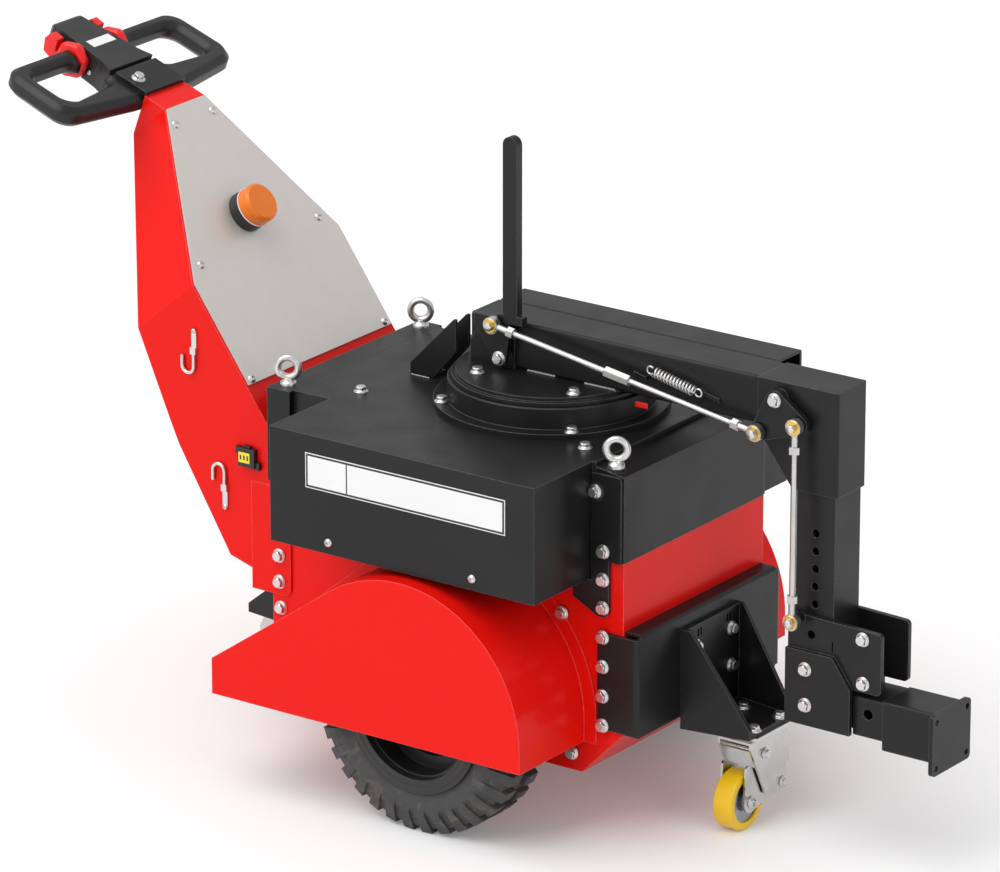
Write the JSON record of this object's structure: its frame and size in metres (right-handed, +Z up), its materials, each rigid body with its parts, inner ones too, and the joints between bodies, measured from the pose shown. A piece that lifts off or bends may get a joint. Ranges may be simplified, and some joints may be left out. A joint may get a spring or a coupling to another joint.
{
  "type": "electric tow tractor",
  "caption": "Walk-behind battery tow tractor with mudguarded drive wheels, a tall handle mast and a slewing boom whose lever-worked drop tube carries a drilled coupling plate.",
  "frame": {"origin": "on the floor under the middle of the machine's length, on its centre plane", "axes": "+X towards the towing end, +Z up, +Y to the left of someone who looks along +X"},
  "size_m": [1.8028, 0.768, 1.1212],
  "materials": {
    "red_paint": "gloss",
    "black_coat": "satin, fine texture",
    "brushed_panel": "fine brushed",
    "zinc": "bright zinc",
    "black_plastic": "fine grained",
    "red_plastic": "gloss",
    "amber_lens": "translucent amber",
    "cast_housing": "painted casting",
    "battery_case": "moulded",
    "tyre_rubber": "dusty rubber",
    "rim_paint": "satin black",
    "castor_steel": "bright zinc",
    "castor_hub": "satin",
    "yellow_tread": "polyurethane",
    "black_tread": "satin",
    "rod_steel": "turned steel"
  },
  "bodies": {
    "root": {"chassis_tub": "red_paint", "top_cover": "black_coat", "front_hood": "black_coat", "rear_crossmember": "black_coat", "corner_plates": "black_coat", "bumper_channel": "black_coat", "front_castor_bracket": "black_coat", "rear_castor_bracket": "black_coat", "mudguard_right": "red_paint", "mudguard_left": "red_paint", "mast_shell": "red_paint", "mast_panel": "brushed_panel", "beacon_base": "black_plastic", "beacon_lens": "amber_lens", "handle_bracket": "black_coat", "handle_frame": "black_plastic", "handle_head": "black_plastic", "thumb_wheels": "red_plastic", "lifting_eyes": "zinc", "turntable_base": "black_coat", "lock_bracket": "black_coat", "drive_unit": "cast_housing", "battery": "battery_case", "drive_axle": "cast_housing", "front_castor_plate": "zinc", "rear_castor_plate": "zinc", "storage_hooks": "zinc", "charge_meter": "black_plastic"},
    "wheel_right": {"tyre_right": "tyre_rubber", "rim_right": "rim_paint"},
    "wheel_left": {"tyre_left": "tyre_rubber", "rim_left": "rim_paint"},
    "front_castor": {"front_castor_fork": "castor_steel"},
    "front_castor_wheel": {"front_castor_tyre": "yellow_tread", "front_castor_hub": "castor_hub"},
    "rear_castor": {"rear_castor_fork": "castor_steel"},
    "rear_castor_wheel": {"rear_castor_tyre": "black_tread", "rear_castor_hub": "castor_hub"},
    "boom": {"turntable_disc": "black_coat", "boom_tube_near": "black_coat", "boom_tube_far": "black_coat", "boom_elbow": "black_coat", "lever_bracket": "black_coat", "spring": "zinc"},
    "lever": {"lift_lever": "black_coat"},
    "pull_rod": {"pull_rod": "rod_steel"},
    "crank": {"bell_crank": "black_coat"},
    "lift_rod": {"lift_rod": "rod_steel"},
    "hitch": {"drop_tube": "black_coat", "hitch_cheeks": "black_coat", "coupling_tube": "black_coat", "coupling_plate": "black_coat"}
  },
  "joints": [
    {"name": "wheel_right_roll", "type": "hinge", "parent": "root", "child": "wheel_right", "pos_m": [0.10436, -0.307, 0.2], "axis": [0, 1, 0], "continuous": true},
    {"name": "wheel_left_roll", "type": "hinge", "parent": "root", "child": "wheel_left", "pos_m": [0.10436, 0.307, 0.2], "axis": [0, 1, 0], "continuous": true},
    {"name": "front_castor_swivel", "type": "hinge", "parent": "root", "child": "front_castor", "pos_m": [0.51636, 0, 0.156], "axis": [0, 0, 1], "continuous": true},
    {"name": "front_castor_roll", "type": "hinge", "parent": "front_castor", "child": "front_castor_wheel", "pos_m": [0.51636, -0.03, 0.05], "axis": [1, 0, 0], "continuous": true},
    {"name": "rear_castor_swivel", "type": "hinge", "parent": "root", "child": "rear_castor", "pos_m": [-0.38564, 0, 0.156], "axis": [0, 0, 1], "continuous": true},
    {"name": "rear_castor_roll", "type": "hinge", "parent": "rear_castor", "child": "rear_castor_wheel", "pos_m": [-0.35564, 0, 0.05], "axis": [0, 1, 0], "continuous": true},
    {"name": "boom_slew", "type": "hinge", "parent": "root", "child": "boom", "pos_m": [0.12436, 0, 0.7], "axis": [0, 0, 1], "range_deg": [-90, 90]},
    {"name": "lever_swing", "type": "hinge", "parent": "boom", "child": "lever", "pos_m": [0.06136, -0.06, 0.722], "axis": [0, 1, 0], "range_deg": [-20, 20]},
    {"name": "crank_turn", "type": "hinge", "parent": "boom", "child": "crank", "pos_m": [0.59636, -0.06, 0.757], "axis": [0, 1, 0], "range_deg": [-21.4, 21.4]},
    {"name": "pull_rod_pin", "type": "hinge", "parent": "lever", "child": "pull_rod", "pos_m": [0.05436, -0.07, 0.78], "axis": [0, 1, 0], "range_deg": [-19.6, 19.6]},
    {"name": "lift_rod_pin", "type": "hinge", "parent": "crank", "child": "lift_rod", "pos_m": [0.64136, -0.07, 0.724], "axis": [0, 1, 0], "range_deg": [-23.4, 23.4]},
    {"name": "hitch_lift", "type": "slide", "parent": "boom", "child": "hitch", "axis": [0, 0, 1], "range_m": [-0.01802, 0.01802]}
  ],
  "couplings": [
    {"joint": "crank_turn", "follows": "lever_swing", "ratio": -1.02},
    {"joint": "pull_rod_pin", "follows": "lever_swing", "ratio": -0.93},
    {"joint": "lift_rod_pin", "follows": "lever_swing", "ratio": 1.12},
    {"joint": "hitch_lift", "follows": "lever_swing", "m_per_rad": 0.0459}
  ]
}
